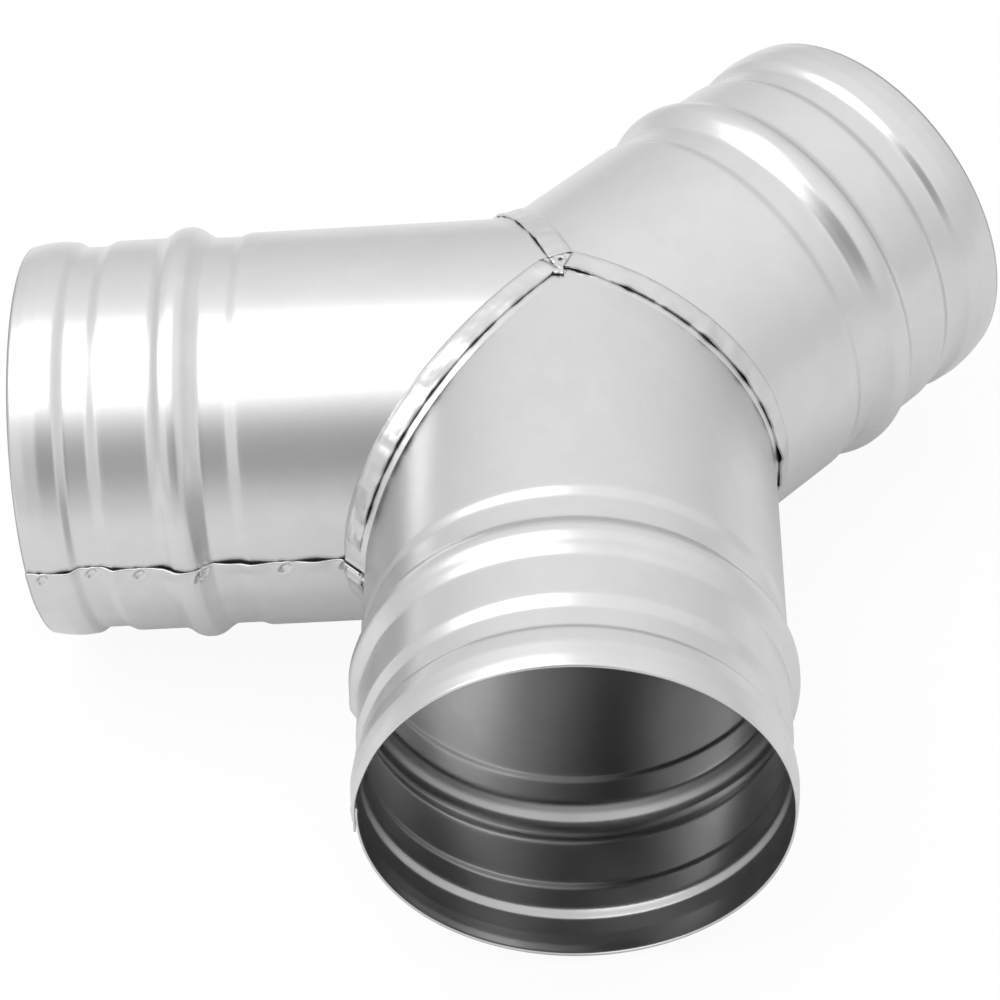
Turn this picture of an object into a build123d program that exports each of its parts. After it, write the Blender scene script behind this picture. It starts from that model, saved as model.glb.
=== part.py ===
"""Duct Y branch in rolled galvanised sheet.

Three spigots of one diameter meet at a point: two branches at a right angle to each
other and a main arm behind them, in line with the angle between them. Each arm is one
rolled sheet with a lapped, spot-welded seam along its equator and beads rolled in at
its open end. Where two arms meet, the sheets are bent into bands square to the mitre
plane, and one band laps over the other.

Frame: +Y along the main arm, +Z up, lying on the stop beads. Lengths in millimetres.
"""
from build123d import *
import math
import os

os.makedirs("parts", exist_ok=True)

# Sheet and tube.
body_radius = 50.0
sheet = 0.5
lap_gap = 0.06

# Arms, from the point where the three axes meet to each open end.
main_length = 107.0
branch_length = 135.0
branch_angle = 90.0

# Beads of a spigot: distance in from the open end, and height over the body.
rim_drop = -0.5
lip_at, lip_height = 7.0, 0.4
lip_end, lip_end_height = 11.2, 0.0
groove_at, groove_width, groove_height = 13.2, 5.8, -1.4
land_at, land_width, land_height = 21.6, 12.6, -0.2
bead_at, bead_width, bead_height = 37.4, 5.0, 2.2
recess_at, recess_width, recess_height = 46.2, 7.0, -0.8
body_at = 55.6
bead_bend = 2.2

# Longitudinal seam on the equator: lap, and the gentle step that climbs onto it.
seam_lap = 8.0
seam_below_equator = 1.5
seam_step_radius = 30.0
weld_radius = 2.0
weld_inset = 3.2
weld_dimple = 0.18
weld_dimple_ball = 9.0
weld_distances = (4.0, 16.0, 28.0, 49.8, 64.0, 79.0)

# Mitre joint: bands bent square to the mitre plane, and how far each laps past it.
bend_distance = 4.25
over_lap = 2.25
under_lap = 3.0
band_step = 0.9
facet_overlap = 0.3
facet_tip = 2.3
facet_slot = 0.3
facet_step = 0.1

raise_by = sheet + lap_gap
main_half_angle = (360.0 - branch_angle) / 4
branch_half_angle = branch_angle / 2
axis_height = body_radius + bead_height
far = 3 * (body_radius + branch_length)


def heading(angle):
    """Unit vector in the plane of the arms, at an angle from an arm's own axis."""
    return Vector(math.cos(math.radians(angle)), math.sin(math.radians(angle)), 0)


def spigot_outline(length):
    """Outer line of an arm's sheet, as (distance along the axis, radius)."""
    steps = [
        (0.0, rim_drop),
        (lip_at, lip_height),
        (lip_end, lip_end_height),
        (groove_at, groove_height),
        (groove_at + groove_width, groove_height),
        (land_at, land_height),
        (land_at + land_width, land_height),
        (bead_at, bead_height),
        (bead_at + bead_width, bead_height),
        (recess_at, recess_height),
        (recess_at + recess_width, recess_height),
        (body_at, 0.0),
        (length, 0.0),
    ]
    return [(length - inset, body_radius + height) for inset, height in steps]


def outline_radius(length, inset):
    """Outer radius at a distance in from the open end, bends left out."""
    points = spigot_outline(length)
    place = length - inset
    for (x_out, r_out), (x_in, r_in) in zip(points, points[1:]):
        if x_in <= place <= x_out:
            return r_in + (r_out - r_in) * (place - x_in) / (x_out - x_in)
    return body_radius


def sheet_section(length):
    """Section of the rolled sheet above the axis, one sheet thick."""
    outer = Plane.XZ * FilletPolyline(*spigot_outline(length), radius=bead_bend)
    band = offset(outer, amount=sheet, side=Side.LEFT, closed=True)
    middle = band.bounding_box().center().Z
    if middle > outer.bounding_box().center().Z:
        band = offset(outer, amount=sheet, side=Side.RIGHT, closed=True)
    return make_face(band.edges())


def turned(section, axis_z, arc):
    """Section swept about an axis parallel to the arm's, arc > 0 towards +Y."""
    direction = (-1, 0, 0) if arc > 0 else (1, 0, 0)
    return revolve(section, Axis((0, 0, axis_z), direction), abs(arc))


def rolled_sheet(length):
    """Full arm, its seam on the +Y side with the free edge just below the equator."""
    section = sheet_section(length)
    raised = Pos(0, 0, raise_by) * section
    step = math.degrees(math.acos(1 - raise_by / (2 * seam_step_radius)))
    lap = math.degrees(seam_lap / body_radius)
    free_edge = 90.0 + math.degrees(seam_below_equator / body_radius)
    lap_start = free_edge - lap
    climb_start = lap_start - 2 * step
    inner_edge = lap_start + math.degrees(sheet / body_radius)
    around = 360.0 - (inner_edge - climb_start)
    arm = Rot(X=-climb_start) * turned(section, 0, -around)
    arm += Rot(X=-climb_start) * turned(section, -seam_step_radius, step)
    arm += Rot(X=-lap_start) * turned(raised, seam_step_radius, -step)
    arm += Rot(X=-lap_start) * turned(raised, 0, lap)
    to_weld = Rot(X=-(free_edge - math.degrees(weld_inset / body_radius)))
    nuggets, dimples = [], []
    for inset in weld_distances:
        radius = outline_radius(length, inset)
        spot = to_weld * Pos(length - inset, 0, radius)
        nuggets.append(spot * Cylinder(weld_radius, raise_by))
        ball = Pos(0, 0, raise_by - weld_dimple + weld_dimple_ball)
        dimples.append(spot * ball * Sphere(weld_dimple_ball))
    return arm + nuggets - dimples


def wedge(side_angles):
    """Prism between an arm's two bend planes, and the corner where they cross."""
    plus, minus = side_angles
    lean_plus, lean_minus = heading(plus), heading(-minus)
    normal_plus, normal_minus = heading(plus + 90), heading(-minus - 90)
    cross = normal_plus.X * normal_minus.Y - normal_plus.Y * normal_minus.X
    corner = Vector(
        bend_distance * (normal_plus.Y - normal_minus.Y) / cross,
        bend_distance * (normal_minus.X - normal_plus.X) / cross,
        0,
    )
    reach = [corner, corner + lean_minus * far, corner + heading(0) * 2 * far,
             corner + lean_plus * far]
    outline = Polyline(*reach, close=True)
    return extrude(make_face(outline), 2 * body_radius, both=True), corner


def cut_tube(plane, half_angle, lift):
    """Outer and inner ellipse of the tube on a bend plane, lifted off its surface."""
    slant = math.sin(math.radians(half_angle))
    place = plane * Pos(bend_distance / math.tan(math.radians(half_angle)), 0, 0)
    outer, inner = body_radius + lift, body_radius + lift - sheet
    return place * Ellipse(outer / slant, outer), place * Ellipse(inner / slant, inner)


def mitre_band(half_angle, side, corner, over):
    """Bent edge of an arm on its +Y (side 1) or -Y (side -1) mitre."""
    lean = heading(side * half_angle)
    normal = heading(side * (half_angle + 90))
    plane = Plane(origin=normal * -bend_distance, x_dir=lean, z_dir=normal)
    start = corner.dot(lean)
    outer, inner = cut_tube(plane, half_angle, 0)
    if over:
        high_outer, high_inner = cut_tube(plane.offset(band_step), half_angle, raise_by)
        flat = extrude(high_outer - high_inner, bend_distance + over_lap - band_step)
        band = loft([outer, high_outer]) - loft([inner, high_inner]) + flat
    else:
        band = extrude(outer - inner, bend_distance + under_lap)
    keep = Plane(origin=plane.origin + lean * start, x_dir=normal, z_dir=lean)
    return split(band, bisect_by=keep, keep=Keep.TOP)


def facet(points, top, depth=sheet):
    """Flat tongue of sheet between an arm's two bands, above and below."""
    plate = extrude(make_face(Polyline(*points, close=True)), depth)
    upper = Pos(0, 0, top - depth) * plate
    return upper + mirror(upper, Plane.XY)


def main_facet(half_angle, corner):
    """Raised tongue of the main arm, which covers the point where the mitres meet."""
    plus, minus = heading(half_angle + 90), heading(-half_angle - 90)
    lean_plus = heading(half_angle) * facet_overlap
    lean_minus = heading(-half_angle) * facet_overlap
    edge = bend_distance + over_lap
    top = body_radius + raise_by + facet_step
    tongue = [corner + plus * band_step + lean_plus, corner + plus * edge + lean_plus,
              Vector(-facet_tip, 0, 0),
              corner + minus * edge + lean_minus, corner + minus * band_step + lean_minus]
    root = [corner + heading(0) * facet_overlap, corner + plus * band_step + lean_plus,
            corner + minus * band_step + lean_minus]
    return facet(tongue, top) + facet(root, top, 2 * raise_by + facet_step)


def branch_facet(corner, main_side, laps_over):
    """Low tongue of a branch, under the main arm's, with a slot left at the middle."""
    to_main = heading(main_side * (main_half_angle + 90))
    to_branch = heading(-main_side * (branch_half_angle + 90))
    lean_main = heading(main_side * main_half_angle)
    lean_branch = heading(-main_side * branch_half_angle)
    reach_main = bend_distance + under_lap
    reach_branch = bend_distance - facet_slot
    into_branch_band = lean_branch * (-facet_slot if laps_over else facet_overlap)
    points = [
        corner + lean_main * facet_overlap,
        corner + to_main * reach_main + lean_main * facet_overlap,
        corner + to_main * reach_main,
        corner + to_branch * reach_branch,
        corner + to_branch * reach_branch + into_branch_band,
        corner + into_branch_band,
    ]
    if laps_over:
        del points[3]
    return facet(points, body_radius - facet_step)


def arm(tube, half_angles, over):
    """One sheet, axis along +X: its angles and laps are given for +Y, then -Y."""
    prism, corner = wedge(half_angles)
    shape = tube & prism
    for side, half_angle, is_over in zip((1, -1), half_angles, over):
        shape += mitre_band(half_angle, side, corner, is_over)
    return shape, corner


main_tube = rolled_sheet(main_length)
main_arm, corner = arm(main_tube, (main_half_angle, main_half_angle), (True, True))
main_arm += main_facet(main_half_angle, corner)

branch_tube = rolled_sheet(branch_length)
branch_angles = (branch_half_angle, main_half_angle)
left_branch, corner = arm(branch_tube, branch_angles, (True, False))
left_branch += branch_facet(corner, -1, laps_over=True)
right_branch, corner = arm(branch_tube, branch_angles, (False, False))
right_branch += branch_facet(corner, -1, laps_over=False)
right_branch = mirror(right_branch, Plane.XZ)

nodes = {
    "main_arm": Rot(Z=90) * main_arm,
    "left_branch": Rot(Z=270 - branch_half_angle) * left_branch,
    "right_branch": Rot(Z=270 + branch_half_angle) * right_branch,
}

# The origin is under the middle of the whole part, on the ground that its beads touch.
extent = Compound(children=[Rot(Z=0) * shape for shape in nodes.values()]).bounding_box()
to_origin = Pos(-extent.center().X, -extent.center().Y, axis_height)
print("Axes meet at", [round(value, 4) for value in to_origin.position])
for name, shape in nodes.items():
    export_step(to_origin * shape, f"parts/{name}.step")
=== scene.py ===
"""Duct Y branch in rolled galvanised sheet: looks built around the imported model.

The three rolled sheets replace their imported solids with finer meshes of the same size:
rolled beads, lapped spot-welded seams, and mitred edges bent into lapped bands.
"""
import math

import bmesh
import bpy
from mathutils import Matrix, Vector, noise


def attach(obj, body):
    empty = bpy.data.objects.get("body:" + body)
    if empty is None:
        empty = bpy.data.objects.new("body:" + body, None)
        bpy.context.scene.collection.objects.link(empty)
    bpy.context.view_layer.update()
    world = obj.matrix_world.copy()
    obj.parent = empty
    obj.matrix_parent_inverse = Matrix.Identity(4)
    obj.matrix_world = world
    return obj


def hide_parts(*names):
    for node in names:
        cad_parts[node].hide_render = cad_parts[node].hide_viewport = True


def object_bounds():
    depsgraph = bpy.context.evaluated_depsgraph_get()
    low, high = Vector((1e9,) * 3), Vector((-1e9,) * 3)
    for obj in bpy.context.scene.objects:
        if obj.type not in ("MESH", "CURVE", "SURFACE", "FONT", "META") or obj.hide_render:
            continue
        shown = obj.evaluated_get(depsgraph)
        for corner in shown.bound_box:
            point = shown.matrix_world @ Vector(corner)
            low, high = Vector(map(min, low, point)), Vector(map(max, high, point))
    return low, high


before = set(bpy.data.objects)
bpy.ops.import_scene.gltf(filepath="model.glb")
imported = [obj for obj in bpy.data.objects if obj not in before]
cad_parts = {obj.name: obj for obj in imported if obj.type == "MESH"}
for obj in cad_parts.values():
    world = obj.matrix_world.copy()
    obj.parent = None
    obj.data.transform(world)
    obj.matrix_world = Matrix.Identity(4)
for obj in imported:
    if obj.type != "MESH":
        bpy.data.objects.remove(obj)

bl_info = {
    "name": "Duct Y branch",
    "version": (1, 0, 0),
    "blender": (4, 5, 0),
    "location": "3D View > Sidebar > Duct",
    "description": "Builds a mitred sheet-steel duct Y with beaded spigots and its studio",
    "category": "Object",
}

MM = 0.001
CAD_BOX = [list(corner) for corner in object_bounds()]


# Settings
class DuctSizes(bpy.types.PropertyGroup):
    """Sizes of the sheets, in millimetres"""
    body_radius: bpy.props.FloatProperty(
        name="Body radius", description="Outer radius of the plain tube", default=50.0)
    sheet: bpy.props.FloatProperty(
        name="Sheet", description="Thickness of the steel sheet", default=0.5)
    lap_gap: bpy.props.FloatProperty(
        name="Lap gap", description="Air between two lapped sheets", default=0.06)
    main_length: bpy.props.FloatProperty(
        name="Main length", description="Main arm, from the joint to its rim", default=107.0)
    branch_length: bpy.props.FloatProperty(
        name="Branch length", description="Branch, from the joint to its rim", default=135.0)
    branch_angle: bpy.props.FloatProperty(
        name="Branch angle", description="Angle between the two branches, in degrees",
        default=90.0)
    seam_lap: bpy.props.FloatProperty(
        name="Seam lap", description="Overlap of the longitudinal seam", default=8.0)
    bend_distance: bpy.props.FloatProperty(
        name="Bend distance", description="From a mitre plane to the bend beside it",
        default=4.25)
    over_lap: bpy.props.FloatProperty(
        name="Over lap", description="How far the upper band passes the mitre plane",
        default=2.25)
    under_lap: bpy.props.FloatProperty(
        name="Under lap", description="How far the lower band passes the mitre plane",
        default=3.0)


class DuctFinish(bpy.types.PropertyGroup):
    """Look of the galvanised sheet"""
    zinc: bpy.props.StringProperty(
        name="Zinc", description="Colour of the zinc coat, sRGB hex", default="#CECECE")
    zinc_dull: bpy.props.StringProperty(
        name="Dull zinc", description="Colour of its duller grains, sRGB hex",
        default="#C3C3C3")
    # The inner side's two greys are darker than the outer ones: painted shade inside the tube.
    zinc_inside_with_painted_shade: bpy.props.StringProperty(
        name="Zinc inside", description="Colour of the duller inner side, sRGB hex",
        default="#B6B6B6")
    zinc_inside_dull_with_painted_shade: bpy.props.StringProperty(
        name="Dull zinc inside", description="Colour of the inner side's duller grains, sRGB hex",
        default="#ABABAB")
    roughness: bpy.props.FloatProperty(
        name="Roughness", description="Roughness of the rolled surface", default=0.28,
        min=0.0, max=1.0, subtype="FACTOR")


class StageSettings(bpy.types.PropertyGroup):
    """Camera"""
    camera_at: bpy.props.FloatVectorProperty(
        name="Camera", description="Where the camera stands",
        default=(0.4582, -0.3965, 0.6074), subtype="TRANSLATION")
    camera_aim: bpy.props.FloatVectorProperty(
        name="Aim", description="The point in the middle of the frame",
        default=(0.0087, -0.0229, 0.0522), subtype="TRANSLATION")
    camera_roll: bpy.props.FloatProperty(
        name="Roll", description="Turn about the line of sight, in degrees", default=-6.53)
    lens: bpy.props.FloatProperty(
        name="Lens", description="Focal length in millimetres", default=117.3)


# Form, in millimetres and degrees
# Outer line of a spigot from its open end: distance in, and height over the body.
SPIGOT = (
    (0.0, -0.5), (3.2, 0.1), (7.0, 0.4), (11.2, 0.0), (13.2, -1.4), (19.0, -1.4),
    (21.6, -0.2), (34.0, -0.2), (35.6, 0.5), (37.3, 1.75), (39.0, 2.25), (41.0, 2.25),
    (42.7, 1.7), (44.4, 0.4), (46.4, -0.8), (53.2, -0.8), (55.6, 0.0),
)
CORNER_ROUND = 0.5
ROW_SPACING = 1.0
STEPS_ROUND_TUBE, STEPS_ROUND_LAP = 200, 46
PAST_JOINT = 1.6

# Longitudinal seam: where its free edge is, the arc on which the sheet climbs onto its
# own inner edge, and how far the free edge stands off between the welds.
EDGE_BELOW_EQUATOR = 1.5
CLIMB_ARC = 15.0
INNER_EDGE_ARC = 0.6
LOOSE_ARC = 5.0
LOOSE_LENGTH = 6.0
LOOSE_LIFT = 1.0
WAVE_SCALE, WAVE_SEED = 0.22, 3.1

# Spot welds of that seam, as distance in from the open end and how coarse the mark is.
WELDS = ((4.0, 0.3), (16.0, 0.2), (28.0, 0.3), (43.5, 1.0), (64.0, 0.2), (79.0, 0.3))
WELD_INSET = 1.9
WELD_RADIUS = 1.7
WELD_FINE_ROWS = 2.4
WELD_ARC = 12.0
WELD_SLANT = (0.55, 0.95)
PIT_DEPTH, LIP_HEIGHT, ROUGH_HEIGHT, ROUGH_SCALE = 0.75, 0.2, 0.45, 1.7

# Mitre bands: the rows of the mesh past the bend, the stretch on which an upper band
# steps up, its weld spacing, and the hammer's broad beats and small dents.
BAND_ROWS = (0.45, 0.9, 1.7, 2.7, 3.8, 4.9, 5.8)
BAND_STEP = 1.2
BAND_WELDS, BAND_WELD_STRAY = 11.0, 0.35
BAND_WELD_HOLD, BAND_WELD_EASE = 1.0, 1.6
TIP_START = 3.0
TIP_LIFT, TIP_PRESSED = 0.11, 0.05
BEAT_DEPTH, DENT_DEPTH, UNDER_DENT_DEPTH = 0.24, 0.17, 0.03
BEAT_SCALE, BEAT_SEED = 0.16, 7.0
DENT_SCALE, DENT_SEED = 0.4, 5.0
LOWEST_DENT = -0.04

# Tongues where the three mitres meet: how far the main arm's stand above its bands, the
# tips of its short tongue towards the right branch, and the open hole in the middle.
TONGUE_RISE = 0.1
TONGUE_MIDDLE, TONGUE_MIDDLE_RISE = Vector((-2.3, 0.0, 0.0)), 0.15
TONGUE_TIPS = ((Vector((-3.3, -4.4, 0.0)), 0.3), (Vector((-4.8, -2.6, 0.0)), 0.5))
TONGUE_CUTS = 11
MAIN_CREASE, BRANCH_CREASE = 0.42, 0.15
CREASE_SCALE, FINE_CREASE_SCALE, FINE_CREASE = 0.6, 1.6, 0.6
HOLE_RADIUS = 0.55
BRANCH_TONGUE_DROP = 0.1
UNDER_TONGUE_SLOT, OVER_TONGUE_SLOT = 0.3, 0.9


def sizes():
    return bpy.context.scene.duct_sizes


def heading(angle):
    """Unit vector in the plane of the arms, at an angle in degrees from +X."""
    return Vector((math.cos(math.radians(angle)), math.sin(math.radians(angle)), 0.0))


def smooth(value):
    """0 to 1 with level ends."""
    value = min(max(value, 0.0), 1.0)
    return value * value * (3.0 - 2.0 * value)


def sheet_line(bm, length, reach):
    """Outer line of an arm's section above its axis, its corners rounded."""
    radius = sizes().body_radius
    places = [(length - inset, radius + height) for inset, height in SPIGOT]
    places.append((reach, radius))
    verts = [bm.verts.new((x, 0.0, z)) for x, z in places]
    for first, second in zip(verts, verts[1:]):
        bm.edges.new((first, second))
    bmesh.ops.bevel(bm, geom=verts[1:-1], offset=CORNER_ROUND, offset_type="OFFSET",
                    segments=3, profile=0.5, affect="VERTICES", material=-1)
    for edge in list(bm.edges):
        cuts = int(edge.calc_length() / ROW_SPACING)
        if cuts:
            bmesh.ops.subdivide_edges(bm, edges=[edge], cuts=cuts)
    near = [edge for edge in bm.edges if any(
        abs(0.5 * (edge.verts[0].co.x + edge.verts[1].co.x) - length + inset) < WELD_FINE_ROWS
        for inset, _ in WELDS)]
    bmesh.ops.subdivide_edges(bm, edges=near, cuts=1)


def spin_part(bm, geom, degrees, steps):
    """Sweeps an edge chain downwards past +Y, and returns the last chain."""
    made = bmesh.ops.spin(bm, geom=geom, cent=(0, 0, 0), axis=(-1, 0, 0),
                          angle=math.radians(degrees), steps=steps, use_duplicate=False)
    return made["geom_last"]


def weld_spots(length, seam_angle):
    """Where the seam's spot welds are, as (x, angle past the top, how coarse)."""
    return [(length - inset, seam_angle, coarse) for inset, coarse in WELDS]


def rolled_sheet(bm, length):
    """Tube with its seam on +Y: the sheet climbs, laps and ends just below the equator."""
    form = sizes()
    radius = form.body_radius
    rise = form.sheet + form.lap_gap
    lap = math.degrees(form.seam_lap / radius)
    free_edge = 90.0 + math.degrees(EDGE_BELOW_EQUATOR / radius)
    climb_start = free_edge - lap - CLIMB_ARC
    inner_edge = free_edge - lap + INNER_EDGE_ARC
    sheet_line(bm, length, -radius * PAST_JOINT)
    bmesh.ops.rotate(bm, verts=bm.verts, cent=(0, 0, 0),
                     matrix=Matrix.Rotation(-math.radians(inner_edge), 3, "X"))
    chain = spin_part(bm, bm.verts[:] + bm.edges[:], 360.0 - (inner_edge - climb_start),
                      STEPS_ROUND_TUBE)
    ring = set(bm.verts)
    spin_part(bm, chain, free_edge - climb_start, STEPS_ROUND_LAP)
    spots = weld_spots(length, free_edge - math.degrees(WELD_INSET / radius))
    for vert in bm.verts:
        across = math.degrees(math.atan2(vert.co.y, vert.co.z))
        outward = Vector((0.0, vert.co.y, vert.co.z)).normalized()
        held = min(abs(vert.co.x - x) for x, _, _ in spots)
        lift = 0.0
        if vert not in ring:
            lift = rise * smooth((across - climb_start) / CLIMB_ARC)
            loose = smooth((held - WELD_RADIUS) / LOOSE_LENGTH)
            edge = smooth((across - free_edge + LOOSE_ARC) / LOOSE_ARC)
            wave = 0.5 + 0.5 * noise.noise(Vector((vert.co.x * WAVE_SCALE, WAVE_SEED, 0.0)))
            lift += LOOSE_LIFT * loose * edge * (0.5 + 0.5 * wave)
        for x, angle, coarse in spots:
            # A weld's mark is longer one way, on a slant to the seam.
            aside, below = vert.co.x - x, math.radians(angle - across) * radius
            reach = math.hypot(WELD_SLANT[0] * (aside + below), WELD_SLANT[1] * (aside - below))
            if abs(across - angle) < WELD_ARC and reach < 3.0 * WELD_RADIUS:
                pit = smooth((WELD_RADIUS - reach) / (0.6 * WELD_RADIUS))
                lip = smooth(1.0 - abs(reach - 1.15 * WELD_RADIUS) / (0.4 * WELD_RADIUS))
                rough = noise.noise(vert.co * ROUGH_SCALE) * smooth(1.6 - reach / WELD_RADIUS)
                lift += LIP_HEIGHT * lip - PIT_DEPTH * pit + ROUGH_HEIGHT * coarse * rough
        vert.co += outward * lift


def trim(bm, normal, distance):
    """Cuts the tube by a bend plane and returns the plane as (point, normal)."""
    point = normal * -distance
    bmesh.ops.bisect_plane(bm, geom=bm.verts[:] + bm.edges[:] + bm.faces[:], dist=1e-6,
                           plane_co=point, plane_no=normal, clear_outer=True)
    return point, normal


def rim_on(bm, plane):
    """Open edges that lie in a plane."""
    point, normal = plane
    return [edge for edge in bm.edges if edge.is_boundary
            and all(abs((vert.co - point).dot(normal)) < 1e-4 for vert in edge.verts)]


def mitre_band(bm, plane, half_angle, over):
    """Bends the cut edge square to the mitre plane, stepped up where it laps over."""
    form = sizes()
    point, normal = plane
    slant = math.sin(math.radians(half_angle))
    lean = Vector((-normal.y, normal.x, 0.0))
    if lean.x < 0:
        lean = -lean
    centre = form.bend_distance / math.tan(math.radians(half_angle))
    width = form.bend_distance + (form.over_lap if over else form.under_lap)
    rise = form.sheet + form.lap_gap
    edges = rim_on(bm, plane)
    for edge in edges:
        edge.smooth = False
    before = 0.0
    for place in BAND_ROWS + (width,):
        made = bmesh.ops.extrude_edge_only(bm, edges=edges)["geom"]
        verts = [item for item in made if isinstance(item, bmesh.types.BMVert)]
        edges = [item for item in made if isinstance(item, bmesh.types.BMEdge)
                 and all(end in verts for end in item.verts)]
        share = (smooth(place / BAND_STEP) - smooth(before / BAND_STEP)) if over else 0.0
        for vert in verts:
            along = vert.co.dot(lean) - centre
            outward = (lean * (along * slant * slant) + Vector((0, 0, vert.co.z))).normalized()
            beat = noise.noise(vert.co * BEAT_SCALE + Vector((place * 0.3, 0, BEAT_SEED)))
            dent = noise.noise(vert.co * DENT_SCALE + Vector((0, DENT_SEED, place)))
            vert.co += normal * (place - before) + outward * (rise * share)
            if over:
                turn = math.atan2(along * slant, vert.co.z)
                held = form.body_radius * turn / BAND_WELDS
                held += BAND_WELD_STRAY * noise.noise(Vector((2.4 * turn, normal.y, 1.0)))
                held = BAND_WELDS * abs(held - round(held))
                loose = smooth((held - BAND_WELD_HOLD) / BAND_WELD_EASE)
                tip = smooth((place - TIP_START) / (width - TIP_START))
                middle = math.sin(math.pi * min(place / width, 1.0))
                wander = (tip * (TIP_LIFT * loose - TIP_PRESSED * (1.0 - loose))
                          + BEAT_DEPTH * beat * middle + DENT_DEPTH * dent)
            else:
                wander = UNDER_DENT_DEPTH * dent
            vert.co += outward * max(wander, LOWEST_DENT)
        before = place
    return edges


def facet(bm, points, crumple, hole):
    """Tongue of sheet above the crown, creased by the hammer, and its mirror below."""
    for sign in (1.0, -1.0):
        patch = bmesh.new()
        corners = [patch.verts.new((x, y, sign * z)) for x, y, z in points]
        bmesh.ops.contextual_create(patch, geom=corners)
        bmesh.ops.subdivide_edges(patch, edges=patch.edges[:], cuts=TONGUE_CUTS,
                                  use_grid_fill=True)
        pierced = [face for face in patch.faces
                   if face.calc_center_median().xy.length < hole]
        bmesh.ops.delete(patch, geom=pierced, context="FACES")
        for vert in patch.verts:
            crease = noise.noise(vert.co * CREASE_SCALE)
            crease += FINE_CREASE * noise.noise(vert.co * FINE_CREASE_SCALE)
            vert.co.z += sign * crumple * crease
        mesh = bpy.data.meshes.new("facet")
        patch.to_mesh(mesh)
        patch.free()
        bm.from_mesh(mesh)
        bpy.data.meshes.remove(mesh)


def crown_facet(bm, half_angles, over, is_main):
    """Sheet between an arm's two bands, where the three mitres meet."""
    form = sizes()
    plus, minus = half_angles
    normals = heading(plus + 90), heading(-minus - 90)
    cross = normals[0].x * normals[1].y - normals[0].y * normals[1].x
    corner = Vector((form.bend_distance * (normals[0].y - normals[1].y) / cross,
                     form.bend_distance * (normals[1].x - normals[0].x) / cross, 0.0))
    radius = form.body_radius
    if is_main:
        edge = form.bend_distance + form.over_lap
        top = radius + form.sheet + form.lap_gap + TONGUE_RISE
        outline = [(corner, radius), (corner + normals[0] * edge, top),
                   (TONGUE_MIDDLE, top + TONGUE_MIDDLE_RISE), (corner + normals[1] * edge, top)]
        tongue = outline[2:] + [(place, top + rise) for place, rise in TONGUE_TIPS]
        facet(bm, [(place.x, place.y, z) for place, z in tongue], MAIN_CREASE, 0.0)
    else:
        top = radius - BRANCH_TONGUE_DROP
        slot = OVER_TONGUE_SLOT if over else UNDER_TONGUE_SLOT
        outline = [(corner, top),
                   (corner + normals[1] * (form.bend_distance + form.under_lap), top),
                   (corner + normals[0] * (form.bend_distance - slot), top)]
    facet(bm, [(place.x, place.y, z) for place, z in outline],
          MAIN_CREASE if is_main else BRANCH_CREASE, HOLE_RADIUS if is_main else 0.0)


# Each sheet's name, its node, whether its bands lap over on +Y and -Y, and whether it is
# the main arm or the mirrored branch.
ARMS = (
    ("main_arm_sheet", "main_arm", (True, True), True, False),
    ("left_branch_sheet", "left_branch", (True, False), False, False),
    ("right_branch_sheet", "right_branch", (False, False), False, True),
)


def joint_place():
    """Where the three axes meet: over the origin in X, on the beads, by the box in Y."""
    low, high = CAD_BOX
    form = sizes()
    return Vector((0.0, high[1] - form.main_length * MM, 0.5 * (low[2] + high[2])))


def build_arm(name, node_name, over, is_main, mirrored):
    """One rolled sheet as a mesh piece that stands for its node."""
    form = sizes()
    branch_half = form.branch_angle / 2
    main_half = (360.0 - form.branch_angle) / 4
    if is_main:
        half_angles, length, direction = (main_half, main_half), form.main_length, 90.0
    else:
        half_angles, length = (branch_half, main_half), form.branch_length
        direction = 270.0 + (branch_half if mirrored else -branch_half)
    bm = bmesh.new()
    rolled_sheet(bm, length)
    if not mirrored:
        # Here the outer lap comes up from below.
        bmesh.ops.scale(bm, verts=bm.verts, vec=(1.0, 1.0, -1.0))
    planes = [trim(bm, heading(half_angles[0] + 90), form.bend_distance),
              trim(bm, heading(-half_angles[1] - 90), form.bend_distance)]
    for plane, half_angle, is_over in zip(planes, half_angles, over):
        mitre_band(bm, plane, half_angle, is_over)
    crown_facet(bm, half_angles, over[0], is_main)
    if mirrored:
        bmesh.ops.scale(bm, verts=bm.verts, vec=(1.0, -1.0, 1.0))
    bmesh.ops.remove_doubles(bm, verts=bm.verts, dist=0.002)
    bmesh.ops.recalc_face_normals(bm, faces=bm.faces)
    crown = max(bm.faces, key=lambda face: face.calc_center_median().length_squared)
    outward = Vector((0.0, crown.calc_center_median().y, crown.calc_center_median().z))
    if crown.normal.dot(outward) < 0:
        bmesh.ops.reverse_faces(bm, faces=bm.faces)
    place = Matrix.Translation(joint_place()) @ Matrix.Rotation(
        math.radians(direction), 4, "Z") @ Matrix.Scale(MM, 4)
    bmesh.ops.transform(bm, matrix=place, verts=bm.verts)
    for face in bm.faces:
        face.smooth = True
    mesh = bpy.data.meshes.new(name)
    bm.to_mesh(mesh)
    bm.free()
    piece = bpy.data.objects.new(name, mesh)
    bpy.context.collection.objects.link(piece)
    wall = piece.modifiers.new("Sheet thickness", "SOLIDIFY")
    wall.thickness = form.sheet * MM
    wall.offset = -1.0
    wall.material_offset = 1
    look = bpy.context.scene.duct_finish
    piece.data.materials.append(galvanised_sheet("outside", look.zinc, look.zinc_dull))
    # The inside material's darker colours are painted shade inside the tube.
    piece.data.materials.append(galvanised_sheet(
        "inside", look.zinc_inside_with_painted_shade, look.zinc_inside_dull_with_painted_shade))
    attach(piece, "root")
    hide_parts(node_name)
    return piece


# Finish
def linear(hex_colour, alpha=1.0):
    """Linear RGBA of an sRGB hex colour."""
    parts = [int(hex_colour[i:i + 2], 16) / 255 for i in (1, 3, 5)]
    return [p / 12.92 if p <= 0.04045 else ((p + 0.055) / 1.055) ** 2.4
            for p in parts] + [alpha]


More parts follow.
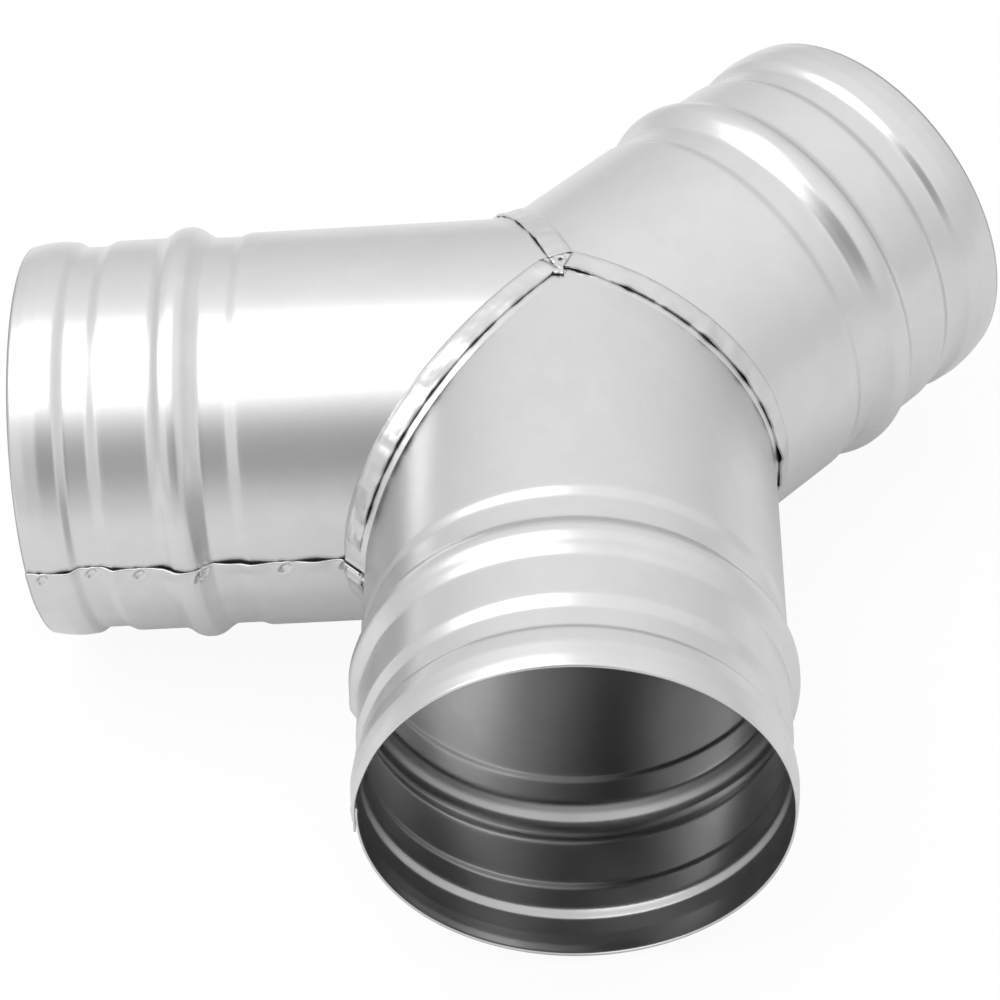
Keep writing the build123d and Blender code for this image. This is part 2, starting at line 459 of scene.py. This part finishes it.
def node(tree, kind, links=(), values=(), **settings):
    """Adds a node, sets its fields and input values, and links outputs to its inputs."""
    made = tree.nodes.new(kind)
    for field, value in settings.items():
        setattr(made, field, value)
    for socket, value in values:
        made.inputs[socket].default_value = value
    for socket, output in links:
        tree.links.new(output, made.inputs[socket])
    return made


def galvanised_sheet(side, zinc_colour, dull_colour):
    """Cold-rolled steel, hot-dip galvanised: a satin zinc coat, with a darker colour on its inner
    side as painted shade inside the tube.
    """
    name = "galvanised_sheet_steel_rolled_" + side
    found = bpy.data.materials.get(name)
    if found:
        return found
    look = bpy.context.scene.duct_finish
    material = bpy.data.materials.new(name)
    material.use_nodes = True
    tree = material.node_tree
    tree.nodes.clear()
    place = node(tree, "ShaderNodeTexCoord").outputs["Object"]
    # Zinc grains are about 6 mm across on light-gauge sheet, and barely show.
    grains = node(tree, "ShaderNodeTexVoronoi", [("Vector", place)],
                  [("Scale", 170.0), ("Randomness", 1.0)], feature="F1")
    # Rolling leaves a fine cloudy haze.
    haze = node(tree, "ShaderNodeTexNoise", [("Vector", place)],
                [("Scale", 60.0), ("Detail", 6.0), ("Roughness", 0.6)])
    fine = node(tree, "ShaderNodeTexNoise", [("Vector", place)],
                [("Scale", 800.0), ("Detail", 3.0), ("Roughness", 0.55)])
    grain_tone = node(tree, "ShaderNodeSeparateColor", [("Color", grains.outputs["Color"])])
    tone = node(tree, "ShaderNodeMix", [("A", grain_tone.outputs["Red"]),
                                        ("B", haze.outputs["Fac"])],
                [("Factor", 0.8)], data_type="FLOAT")
    zinc = node(tree, "ShaderNodeMix", [("Factor", tone.outputs["Result"])],
                [(6, linear(zinc_colour)), (7, linear(dull_colour))], data_type="RGBA")
    rough = node(tree, "ShaderNodeMapRange", [("Value", tone.outputs["Result"])],
                 [("To Min", look.roughness - 0.03), ("To Max", look.roughness + 0.05)])
    relief = node(tree, "ShaderNodeBump", [("Height", fine.outputs["Fac"])],
                  [("Strength", 0.03), ("Distance", 0.0002)])
    shader = node(tree, "ShaderNodeBsdfPrincipled",
                  [("Base Color", zinc.outputs["Result"]),
                   ("Roughness", rough.outputs["Result"]),
                   ("Normal", relief.outputs["Normal"])],
                  [("Metallic", 1.0)])
    node(tree, "ShaderNodeOutputMaterial", [("Surface", shader.outputs["BSDF"])])
    return material


# Stage
FLOOR_HALF = 4.0
FLOOR_WHITE_SEEN, FLOOR_WHITE_MIRRORED = 0.93, 0.25
DIM_WAY = (0.612, -0.612, 0.5)


def studio_floor():
    """Matte white sweep under the part: it shows white and keeps a soft shadow."""
    bm = bmesh.new()
    bmesh.ops.create_grid(bm, x_segments=1, y_segments=1, size=FLOOR_HALF)
    mesh = bpy.data.meshes.new("studio_floor")
    bm.to_mesh(mesh)
    bm.free()
    floor = bpy.data.objects.new("studio_floor", mesh)
    bpy.context.collection.objects.link(floor)
    material = bpy.data.materials.new("matte_white_sweep")
    material.use_nodes = True
    tree = material.node_tree
    tree.nodes.clear()
    paper = node(tree, "ShaderNodeBsdfDiffuse", values=[("Color", linear("#E6E6E6"))])
    glow = node(tree, "ShaderNodeEmission", values=[("Color", (1, 1, 1, 1)), ("Strength", 1.0)])
    path = node(tree, "ShaderNodeLightPath")
    mirrored = node(tree, "ShaderNodeMath", [(0, path.outputs["Is Glossy Ray"]),
                                             (1, path.outputs["Is Transmission Ray"])],
                    operation="ADD")
    part = node(tree, "ShaderNodeMath", [(0, mirrored.outputs["Value"])],
                [(1, FLOOR_WHITE_MIRRORED)], operation="MULTIPLY")
    share = node(tree, "ShaderNodeMath", [(0, path.outputs["Is Camera Ray"]),
                                          (2, part.outputs["Value"])],
                 [(1, FLOOR_WHITE_SEEN)], operation="MULTIPLY_ADD")
    blend = node(tree, "ShaderNodeMixShader", [(0, share.outputs["Value"]),
                                               (1, paper.outputs["BSDF"]),
                                               (2, glow.outputs["Emission"])])
    node(tree, "ShaderNodeOutputMaterial", [("Surface", blend.outputs["Shader"])])
    floor.data.materials.append(material)


def studio_world():
    """White room for the camera; the metal sees a bright ceiling and a greyer room."""
    world = bpy.data.worlds.new("studio_room")
    bpy.context.scene.world = world
    world.use_nodes = True
    tree = world.node_tree
    tree.nodes.clear()
    way = node(tree, "ShaderNodeTexCoord").outputs["Generated"]
    height = node(tree, "ShaderNodeSeparateXYZ", [("Vector", way)])
    walls = node(tree, "ShaderNodeMapRange", [("Value", height.outputs["Z"])],
                 [("From Min", 0.0), ("From Max", 0.9), ("To Min", 0.86), ("To Max", 1.3)])
    # The dim space round the camera is all that the metal sees that isn't white.
    toward = node(tree, "ShaderNodeVectorMath", [(0, way)], [(1, DIM_WAY)],
                  operation="DOT_PRODUCT")
    dim = node(tree, "ShaderNodeMapRange", [("Value", toward.outputs["Value"])],
               [("From Min", 0.89), ("From Max", 0.985), ("To Min", 1.0), ("To Max", 0.38)],
               interpolation_type="SMOOTHSTEP")
    level = node(tree, "ShaderNodeMath", [(0, walls.outputs["Result"]),
                                          (1, dim.outputs["Result"])], operation="MULTIPLY")
    room = node(tree, "ShaderNodeBackground", [("Color", level.outputs["Value"])],
                [("Strength", 1.0)])
    white = node(tree, "ShaderNodeBackground", values=[("Color", (1.0, 1.0, 1.0, 1.0)),
                                                       ("Strength", 1.0)])
    path = node(tree, "ShaderNodeLightPath")
    seen = node(tree, "ShaderNodeMixShader", [(0, path.outputs["Is Camera Ray"]),
                                              (1, room.outputs["Background"]),
                                              (2, white.outputs["Background"])])
    node(tree, "ShaderNodeOutputWorld", [("Surface", seen.outputs["Shader"])])


def softbox(name, at, turn, size, watts):
    """Large soft lamp facing down; its turn is a tilt from that and a heading, in degrees."""
    lamp = bpy.data.lights.new(name, "AREA")
    lamp.shape = "RECTANGLE"
    lamp.size, lamp.size_y = size
    lamp.energy = watts
    holder = bpy.data.objects.new(name, lamp)
    bpy.context.collection.objects.link(holder)
    holder.location = at
    tilt, heading_angle = turn
    holder.rotation_euler = (0.0, -math.radians(tilt), math.radians(heading_angle))
    holder.visible_camera = False


def studio_camera():
    """Camera at the photograph's angle."""
    view = bpy.context.scene.duct_stage
    camera = bpy.data.cameras.new("camera")
    camera.lens = view.lens
    camera.sensor_width = 36.0
    camera.clip_end = 20.0
    holder = bpy.data.objects.new("camera", camera)
    bpy.context.collection.objects.link(holder)
    look = (Vector(view.camera_aim) - Vector(view.camera_at)).to_track_quat("-Z", "Y")
    roll = Matrix.Rotation(math.radians(view.camera_roll), 4, "Z")
    holder.matrix_world = Matrix.Translation(view.camera_at) @ look.to_matrix().to_4x4() @ roll
    bpy.context.scene.camera = holder


# Operators and panel
class DUCT_OT_sheets(bpy.types.Operator):
    """Build the three rolled sheets"""
    bl_idname = "duct.sheets"
    bl_label = "Rolled sheets"

    def execute(self, context):
        for arm in ARMS:
            build_arm(*arm)
        return {"FINISHED"}


class DUCT_OT_stage(bpy.types.Operator):
    """Set up the floor, room, lamp and camera"""
    bl_idname = "duct.stage"
    bl_label = "Studio"

    def execute(self, context):
        context.scene.view_settings.view_transform = "Standard"
        studio_floor()
        studio_world()
        softbox("ceiling_softbox", at=(-0.50, -0.66, 1.3), turn=(0.0, 45.0),
                size=(1.5, 1.08), watts=9.8)
        studio_camera()
        return {"FINISHED"}


class DUCT_PT_panel(bpy.types.Panel):
    """Duct Y branch"""
    bl_label = "Duct Y branch"
    bl_idname = "DUCT_PT_panel"
    bl_space_type = "VIEW_3D"
    bl_region_type = "UI"
    bl_category = "Duct"

    def draw(self, context):
        for operator in (DUCT_OT_sheets, DUCT_OT_stage):
            self.layout.operator(operator.bl_idname)
        for group in (context.scene.duct_sizes, context.scene.duct_finish,
                      context.scene.duct_stage):
            for field in group.bl_rna.properties:
                if field.identifier not in ("name", "rna_type"):
                    self.layout.prop(group, field.identifier)


CLASSES = (DuctSizes, DuctFinish, StageSettings, DUCT_OT_sheets, DUCT_OT_stage, DUCT_PT_panel)


def register():
    for cls in CLASSES:
        bpy.utils.register_class(cls)
    bpy.types.Scene.duct_sizes = bpy.props.PointerProperty(type=DuctSizes)
    bpy.types.Scene.duct_finish = bpy.props.PointerProperty(type=DuctFinish)
    bpy.types.Scene.duct_stage = bpy.props.PointerProperty(type=StageSettings)


def unregister():
    del bpy.types.Scene.duct_sizes
    del bpy.types.Scene.duct_finish
    del bpy.types.Scene.duct_stage
    for cls in reversed(CLASSES):
        bpy.utils.unregister_class(cls)


def main():
    register()
    bpy.ops.duct.sheets()
    bpy.ops.duct.stage()


if __name__ == "__main__":
    main()
